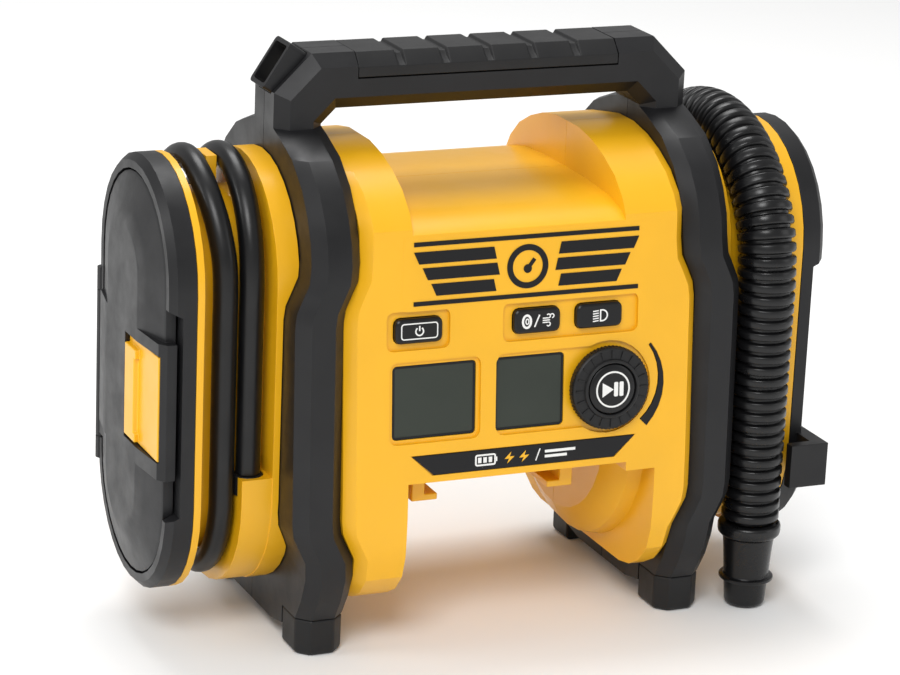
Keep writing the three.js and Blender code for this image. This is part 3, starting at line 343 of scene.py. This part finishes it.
def lapParts():
    h = rubberHose
    return h["high"] - h["low"] - 2 * h["orbit"], math.pi * h["orbit"]


def woundPoint(travel):
    # up the front, over the top, down the rear and round the bottom
    orbit, low, high, rise = (rubberHose[k] for k in ("orbit", "low", "high", "rise"))
    straight, bend = lapParts()
    s = travel % (2 * (straight + bend))
    if s < straight:
        return -orbit, low + orbit + s
    s -= straight
    if s < bend:
        return -orbit * math.cos(s / orbit), high - orbit + (orbit + rise) * math.sin(s / orbit)
    s -= bend
    if s < straight:
        return orbit, high - orbit - s
    s -= straight
    return orbit * math.cos(s / orbit), low + orbit - orbit * math.sin(s / orbit)


def eased(value, low, high):
    t = min(max((value - low) / (high - low), 0), 1)
    return t * t * (3 - 2 * t)


def rubberRoute():
    h = rubberHose
    straight, bend = lapParts()
    lap, part = 2 * (straight + bend), h["changeShare"] * bend
    travel, points = h["start"] - h["low"] - h["orbit"], []
    (front1, crest1), (front2, crest2) = h["lanes"]
    while travel < lap + straight + bend + h["pastLastBend"]:
        lean = eased(travel % lap, straight, straight + part)
        change = eased(travel, 1.5 * straight + bend, lap - part)
        front = front1 + (front2 - front1) * change
        crest = crest1 + (crest2 - crest1) * change
        x = front + (crest - front) * (lean * (1 - change) if travel < lap else lean)
        points.append((x, *woundPoint(travel)))
        travel += h["stride"]
    y = h["chuckY"]
    return points + [(front2 - 1.5, 44, 146), (front2, 53, 135), (front2, y, 124), (front2, y, h["chuckTop"])]


rubberPath = smoothed(rubberRoute(), rubberHose["step"])
rubberMesh = sweep(rubberPath, lambda s: rubberHose["radius"], rubberHose["sides"])
rubber = finishPiece("rubber_hose", rubberMesh, "high_pressure_hose", ("high_pressure_hose",), crease=60)
rubberPath = [p * mm for p in rubberPath]
print("rubber hose length:", round(pathLength(rubberPath), 4))

# corrugated hose, also on the CAD's route: each point of a rib's profile is its share of the pitch, and of
# the rise from valley to crest
wideHose = {"x": 119.5, "y": 58.5, "top": 212.5, "port": 74, "end": 40.6,
            "crest": 13.0, "valley": 10.9, "pitch": 5.4, "sides": 36, "step": 0.5,
            "profile": ((0.0, 0.0), (0.07, 0.1), (0.13, 0.75), (0.24, 1.0),
                        (0.66, 1.0), (0.77, 0.75), (0.84, 0.1))}


def wideRoute():
    h = wideHose
    x, y = h["x"], h["y"]
    crown = [(x, u, v) for u, v in circlePoints(0, h["top"] - y, y, 0, math.pi, 10)]
    return [(x, y, h["port"]), (x, y, 100), (x, y, 128), *crown,
            (x, -y, 128), (x, -y, 100), (x, -y, 70), (x, -y, h["end"])]


def corrugatedHose():
    h = wideHose
    line = smoothed(wideRoute(), h["step"])
    whole = pathLength(line)
    ribs = round(whole / h["pitch"])
    stops = [(rib + share) * whole / ribs for rib in range(ribs) for share, rise in h["profile"]] + [whole]
    rises = [rise for rib in range(ribs) for share, rise in h["profile"]] + [0.0]
    path, travelled, k = [], 0.0, 0
    for a, b in zip(line, line[1:]):
        span = (b - a).length
        while k < len(stops) and stops[k] <= travelled + span + 1e-6:
            path.append(a + (b - a) * max(0, (stops[k] - travelled) / span))
            k += 1
        travelled += span
    radii = iter([h["valley"] + (h["crest"] - h["valley"]) * rise for rise in rises])
    return path, sweep(path, lambda s: next(radii), h["sides"])


widePath, wideMesh = corrugatedHose()
wide = finishPiece("wide_hose", wideMesh, "inflation_hose", ("inflation_hose",), crease=50)


# turned pieces: a profile of (radius, height) turned about a line
def lathe(bm, profile, sides, place, closed=False):
    rings = []
    for radius, height in profile:
        if radius < 1e-4:
            rings.append([bm.verts.new(place(0, 0, height))])
            continue
        rings.append([bm.verts.new(place(radius * math.cos(a), radius * math.sin(a), height))
                      for a in (2 * math.pi * k / sides for k in range(sides))])
    pairs = list(zip(rings, rings[1:])) + ([(rings[-1], rings[0])] if closed else [])
    for low, high in pairs:
        for k in range(sides):
            n = (k + 1) % sides
            corners = [low[k % len(low)], low[n % len(low)], high[n % len(high)], high[k % len(high)]]
            bm.faces.new(list(dict.fromkeys(corners)))


nozzle = {"sides": 48, "crease": 40,
          "cuff": ((9, 33.3), (11.6, 33.3), (13.0, 33.9), (13.9, 34.9), (14.2, 36.2),
                   (14.2, 38.4), (13.9, 39.4), (13.0, 40), (9, 40)),
          "tip": ((7.6, 1.2), (8.3, 1.0), (8.9, 1.6), (9.2, 2.6), (9.5, 7), (9.9, 12.2),
                  (10.3, 12.7), (12.0, 12.8), (12.3, 13.2), (12.3, 14.1), (11.9, 14.5), (10.6, 14.7),
                  (10.2, 15.3), (10.5, 20), (11.0, 27), (11.6, 33), (8, 33))}


def underHose(x, y, z):
    return (wideHose["x"] + x) * mm, (y - wideHose["y"]) * mm, z * mm


def hoseEnd(node, profile):
    bm = bmesh.new()
    lathe(bm, profile, nozzle["sides"], underHose, closed=True)
    finishPiece(node + "_turned", bm, node, (node,), crease=nozzle["crease"])


hoseEnd("hose_cuff", nozzle["cuff"])
hoseEnd("inflation_nozzle", nozzle["tip"])
widePath = [p * mm for p in widePath]
print("wide hose length:", round(pathLength(widePath), 4))

# handle grip: pads with a groove between them, each groove running out down the chamfers
grip = {"half": 61, "low": 244.3, "top": 254.5, "deep": 17, "bevel": 5.5, "shoulder": 0.4,
        "groove": 1.4, "width": 1.3, "slope": 0.8, "spacing": 20.6, "grooves": 5, "edge": 0.5}


def gripRing(x, sunk):
    # half a cross-section, mirrored: a groove sinks the top fully and the chamfer less
    deep, top, bevel = grip["deep"], grip["top"], grip["bevel"]
    inward = 0.5 * bevel + 0.7 * sunk
    half = [(deep, grip["low"]), (deep, top - bevel - grip["shoulder"]), (deep - inward, top - inward),
            (deep - bevel - 0.4 * sunk, top - sunk)]
    return [Vector((x, y, z)) * mm for y, z in half + [(-y, z) for y, z in reversed(half)]]


def handleGrip():
    bm = bmesh.new()
    stations = [(-grip["half"], 0)]
    near, far, sunk = grip["width"], grip["width"] + grip["slope"], grip["groove"]
    for i in range(grip["grooves"]):
        middle = grip["spacing"] * (i - (grip["grooves"] - 1) / 2)
        stations += [(middle - far, 0), (middle - near, sunk), (middle + near, sunk), (middle + far, 0)]
    stations.append((grip["half"], 0))
    rings = [[bm.verts.new(p) for p in gripRing(x, sunk)] for x, sunk in stations]
    for low, high in zip(rings, rings[1:]):
        for k in range(len(low)):
            n = (k + 1) % len(low)
            bm.faces.new((low[k], low[n], high[n], high[k]))
    bm.faces.new(rings[0])
    bm.faces.new(rings[-1][::-1])
    bmesh.ops.recalc_face_normals(bm, faces=bm.faces)
    bevelEdges(bm, grip["edge"], 2, 20)
    finishPiece("handle_grip_pads", bm, "handle_grip", ("handle_grip",), crease=40)


handleGrip()

# the control panel: u to the right, v up it, w out of it
panel = {"lean": 4.3, "front": 68.75, "height": 110}


def onPanel(u, v, w):
    lean = math.radians(panel["lean"])
    y = -panel["front"] + v * math.sin(lean) - w * math.cos(lean)
    z = panel["height"] + v * math.cos(lean) + w * math.sin(lean)
    return Vector((u, y, z)) * mm


def box(left, bottom, right, top):
    return [(left, bottom), (right, bottom), (right, top), (left, top)]


def roundBox(cx, cy, width, height, radius, steps=6):
    x, y = width / 2 - radius, height / 2 - radius
    outline = []
    for quarter, (dx, dy) in enumerate(((x, y), (-x, y), (-x, -y), (x, -y))):
        start = quarter * math.pi / 2
        outline += circlePoints(cx + dx, cy + dy, radius, start, start + math.pi / 2, steps)
    return outline


def prism(bm, outline, low, high):
    bottom = [bm.verts.new(onPanel(u, v, low)) for u, v in outline]
    top = [bm.verts.new(onPanel(u, v, high)) for u, v in outline]
    bm.faces.new(bottom[::-1])
    bm.faces.new(top)
    for k in range(len(outline)):
        n = (k + 1) % len(outline)
        bm.faces.new((bottom[k], bottom[n], top[n], top[k]))


def ribbon(bm, points, width, low, high, closed=False):
    # a band of even width along the points
    line = [Vector(p) for p in points]
    if closed and (line[0] - line[-1]).length < 1e-6:
        line.pop()
    count, left, right = len(line), [], []
    for i, point in enumerate(line):
        before = line[i - 1] if i or closed else point
        after = line[(i + 1) % count] if i + 1 < count or closed else point
        a = (point - before).normalized() if (point - before).length else (after - point).normalized()
        b = (after - point).normalized() if (after - point).length else a
        side = Vector((-(a + b).y, (a + b).x)).normalized()
        reach = width / 2 / max(side.dot(Vector((-a.y, a.x))), 0.5)
        left.append(point + reach * side)
        right.append(point - reach * side)
    for i in range(count if closed else count - 1):
        n = (i + 1) % count
        prism(bm, [left[i], right[i], right[n], left[n]], low, high)


def printed(name, like, finish, draw):
    bm = bmesh.new()
    draw(bm)
    finishPiece(name, bm, like, crease=30, finish=finish, weigh=False)


# badge: a gauge between two sets of bars, with a thin bar above and below
badge = {"v": 60, "reach": 52.5, "lines": (12.9, -12.6), "line": 1.9, "gauge": 9.6, "ring": 2.6,
         "needle": {"drop": 1, "length": 5.2, "width": 1.7, "angle": 52, "hub": 1.9},
         "bars": ((7, 14.5, 52.5), (0, 13, 48.5), (-7, 14.5, 44.5)), "bar": 5.2, "slant": 2.4,
         "low": 0.1, "high": 0.32, "hubHigh": 0.34,
         "plate": (114.6, 31.6, 2), "plateLow": -0.4, "plateHigh": 0.05}


def drawBadge(bm):
    v, reach, low, high, slant = (badge[k] for k in ("v", "reach", "low", "high", "slant"))
    for offset in badge["lines"]:
        middle, half = v + offset, badge["line"] / 2
        prism(bm, box(-reach, middle - half, reach, middle + half), low, high)
    dialRing = circlePoints(0, v, badge["gauge"] - badge["ring"] / 2, steps=48)
    ribbon(bm, dialRing, badge["ring"], low, high, closed=True)
    needle = badge["needle"]
    angle, foot = math.radians(needle["angle"]), v - needle["drop"]
    tip = (needle["length"] * math.cos(angle), foot + needle["length"] * math.sin(angle))
    ribbon(bm, [(0, foot), tip], needle["width"], low, high)
    prism(bm, circlePoints(0, foot, needle["hub"], steps=20)[:-1], low, badge["hubHigh"])
    for offset, near, far in badge["bars"]:
        bottom, top = v + offset - badge["bar"] / 2, v + offset + badge["bar"] / 2
        for side in (-1, 1):
            prism(bm, [(side * near, bottom), (side * (far - slant), bottom), (side * far, top),
                       (side * (near + slant / 2), top)], low, high)


def badgePlate():
    # it covers the seam round its pocket
    bm = bmesh.new()
    prism(bm, roundBox(0, badge["v"], *badge["plate"]), badge["plateLow"], badge["plateHigh"])
    finishPiece("badge_plate", bm, "front_badge", ("front_badge",), crease=30)


badgePlate()
printed("badge_print", "front_badge", "printedBlack", drawBadge)

# button symbols: "at" is the middle of each on the panel, and the rest is measured from there
symbols = {"line": 0.62, "thin": 0.496, "low": 1.0, "high": 1.22}
powerSymbol = {"at": (-50, 36), "frame": (16.4, 6.6, 1.2), "ring": 1.75, "ringDrop": 0.15, "gap": (125, 415),
               "stem": 2.2}
modeSymbol = {"at": (4.8, 36), "slash": (-1.6, 0.7), "slashHalf": 2.6,
              "wheels": ({"u": -5.2, "squash": 0.7, "radius": 2.7, "line": 1.0, "steps": 24},
                         {"u": -5.0, "squash": 0.6, "radius": 1.15, "line": 0.5, "steps": 16}),
              "streamFrom": 2.2, "streams": ((0.95, 2.6), (0.0, 3.4), (-0.95, 2.6)),
              "curls": ((1, 4.9), (-1, 4.9), (1, 6.6)), "curl": 0.85, "curlRise": 1.75}
lampSymbol = {"at": (34.2, 36), "bulb": 2.4, "back": 0.2, "front": 0.9, "swell": 1.05,
              "beams": (2.2, 1.1, 0, -1.1, -2.2), "beamFrom": -3.4, "beamTo": -0.7, "beamDrop": 0.25}


def drawPower(bm):
    look, (u, v) = powerSymbol, powerSymbol["at"]
    line, thin, low, high = (symbols[k] for k in ("line", "thin", "low", "high"))
    ribbon(bm, roundBox(u, v, *look["frame"]), thin, low, high, closed=True)
    start, end = (math.radians(a) for a in look["gap"])
    ribbon(bm, circlePoints(u, v - look["ringDrop"], look["ring"], start, end, 20), line, low, high)
    ribbon(bm, [(u, v), (u, v + look["stem"])], line, low, high)


def drawMode(bm):
    look, (u, v) = modeSymbol, modeSymbol["at"]
    line, thin, low, high = (symbols[k] for k in ("line", "thin", "low", "high"))
    for wheel in look["wheels"]:
        rim = [(u + wheel["u"] + wheel["squash"] * x, v + y)
               for x, y in circlePoints(0, 0, wheel["radius"], steps=wheel["steps"])]
        ribbon(bm, rim, wheel["line"], low, high, closed=True)
    foot, head = look["slash"]
    ribbon(bm, [(u + foot, v - look["slashHalf"]), (u + head, v + look["slashHalf"])], line, low, high)
    for offset, reach in look["streams"]:
        near = u + look["streamFrom"]
        ribbon(bm, [(near, v + offset), (near + reach, v + offset)], thin, low, high)
    for side, x in look["curls"]:
        curl = circlePoints(u + x, v + side * look["curlRise"], look["curl"],
                            -side * math.pi / 2, side * math.pi * 0.8, 12)
        ribbon(bm, curl, thin, low, high)


def drawLamp(bm):
    look, (u, v) = lampSymbol, lampSymbol["at"]
    line, thin, low, high = (symbols[k] for k in ("line", "thin", "low", "high"))
    bulb = [(u + look["back"], v - look["bulb"]), (u + look["back"], v + look["bulb"])]
    bulb += [(u + look["front"] + x * look["swell"], v + y)
             for x, y in circlePoints(0, 0, look["bulb"], math.pi / 2, -math.pi / 2, 16)]
    ribbon(bm, bulb, line, low, high, closed=True)
    for offset in look["beams"]:
        ribbon(bm, [(u + look["beamFrom"], v + offset - look["beamDrop"]), (u + look["beamTo"], v + offset)],
               thin, low, high)


printed("power_symbol", "power_button", "printedWhite", drawPower)
printed("mode_symbol", "mode_button", "printedWhite", drawMode)
printed("lamp_symbol", "light_button", "printedWhite", drawLamp)

# start button and pressure dial: profiles are (radius, height) over the panel
startLook = {"cap": ((0, 5.55), (7.2, 5.55), (8.9, 5.5), (10.2, 5.3), (10.8, 4.9), (11, 4.3), (11, 2.2),
                     (0, 2.2)),
             "stem": ((0, 2.2), (5.2, 2.2), (5.2, -6), (0, -6)),
             "low": 5.4, "high": 5.7, "circle": 7.7, "line": 0.75,
             "triangle": ((-5.0, -3.2), (0.3, 0), (-5.0, 3.2)), "bars": (1.45, 4.05), "bar": (1.9, 6.4, 0.5)}
dial = {"u": 39, "v": 3.8,
        "ring": ((11.3, 0), (11.3, 4.6), (11.6, 5.3), (12.3, 5.6), (12.9, 5.3), (13.3, 4.4), (16.6, 4.2),
                 (17.3, 4.2), (17.9, 3.8), (18.2, 3.2), (18.2, 0.4), (17.8, -0.6), (11.3, -0.9)),
        "sleeve": ((5.6, -6), (7.6, -6), (7.6, -0.7), (5.6, -0.7)),
        "web": ((5.6, -0.9), (12, -0.9), (12, -0.2), (5.6, -0.2)),
        "marks": ({"count": 20, "radii": (13.5, 16.9), "width": 0.55, "low": 4.1, "high": 4.75},
                  {"count": 64, "radii": (17.9, 18.45), "width": 0.7, "low": 0.4, "high": 3.1})}


def onDial(x, y, z):
    return onPanel(dial["u"] + x, dial["v"] + y, z)


def startButton():
    bm = bmesh.new()
    lathe(bm, startLook["cap"], 64, onDial)
    lathe(bm, startLook["stem"], 32, onDial)
    finishPiece("start_button_turned", bm, "start_button", ("start_button",), crease=30)


def drawStart(bm):
    u, v, low, high = dial["u"], dial["v"], startLook["low"], startLook["high"]
    ribbon(bm, circlePoints(u, v, startLook["circle"], steps=56), startLook["line"], low, high, closed=True)
    prism(bm, [(u + x, v + y) for x, y in startLook["triangle"]], low, high)
    for x in startLook["bars"]:
        prism(bm, roundBox(u + x, v, *startLook["bar"], 3), low, high)


def pressureDial():
    bm = bmesh.new()
    for part, sides in (("ring", 96), ("sleeve", 40), ("web", 48)):
        lathe(bm, dial[part], sides, onDial, closed=True)
    for marks in dial["marks"]:
        for i in range(marks["count"]):
            a = 2 * math.pi * i / marks["count"]
            ends = [(dial["u"] + r * math.cos(a), dial["v"] + r * math.sin(a)) for r in marks["radii"]]
            ribbon(bm, ends, marks["width"], marks["low"], marks["high"])
    finishPiece("dial_turned", bm, "dial_ring", ("dial_ring",), crease=30)


startButton()
printed("start_symbol", "start_button", "printedWhite", drawStart)
pressureDial()

# displays: a dark band round each window, painted shade in place of the shadow of the recessed window
displays = {"v": 4.6, "height": 31.8, "shadeWidth": 0.9, "corner": 1.2, "low": -1.95, "high": -1.7,
            "windows": {"display_window_left": (-42, 38), "display_window_right": (2.4, 32)}}


# the band is painted shade in the printed black finish, drawn all round the window
def drawShadeBand(bm, u, width):
    shadeWidth = displays["shadeWidth"]
    edge = roundBox(u, displays["v"], width - shadeWidth, displays["height"] - shadeWidth, displays["corner"])
    ribbon(bm, edge, shadeWidth, displays["low"], displays["high"], closed=True)


for node, (u, width) in displays["windows"].items():
    printed(node + "_painted_shade", node, "printedBlack", lambda bm: drawShadeBand(bm, u, width))

# strip under the displays: a battery sign, two bolts, a slash and plain bars
strip = {"v": -23.4, "low": 0.2, "high": 0.42,
         "battery": (-18.5, 9, 4.4, 0.7), "outline": 0.75, "tip": (-13.9, -13, 1),
         "cells": (-21.2, -18.7, -16.2), "cellHalf": (0.8, 1.2),
         "slash": (5.2, 7.2), "slashHalf": 2.6, "slashWidth": 0.5,
         "barFrom": 9.5, "bars": ((1.1, 14.5), (-1.1, 10.5)), "barWidth": 1.2, "bolts": (-9.5, -2.6),
         "bolt": ((0, -0.5), (3.1, 2.5), (2.4, 0.4), (4.6, 0.4), (1.2, -2.6), (2.1, -0.5))}


def drawStrip(bm):
    v, low, high = strip["v"], strip["low"], strip["high"]
    u, width, height, corner = strip["battery"]
    ribbon(bm, roundBox(u, v, width, height, corner, 3), strip["outline"], low, high, closed=True)
    near, far, half = strip["tip"]
    prism(bm, box(near, v - half, far, v + half), low, high)
    across, up = strip["cellHalf"]
    for x in strip["cells"]:
        prism(bm, box(x - across, v - up, x + across, v + up), low, high)
    foot, head = strip["slash"]
    slash = [(foot, v - strip["slashHalf"]), (head, v + strip["slashHalf"])]
    ribbon(bm, slash, strip["slashWidth"], low, high)
    for offset, reach in strip["bars"]:
        line = [(strip["barFrom"], v + offset), (strip["barFrom"] + reach, v + offset)]
        ribbon(bm, line, strip["barWidth"], low, high)


def drawBolt(bm):
    for x in strip["bolts"]:
        outline = [(x + across, strip["v"] + up) for across, up in strip["bolt"]]
        prism(bm, outline, strip["low"], strip["high"])


printed("strip_signs", "label_strip", "printedWhite", drawStrip)
printed("strip_bolts", "label_strip", "yellowShell", drawBolt)
print("panel ready")
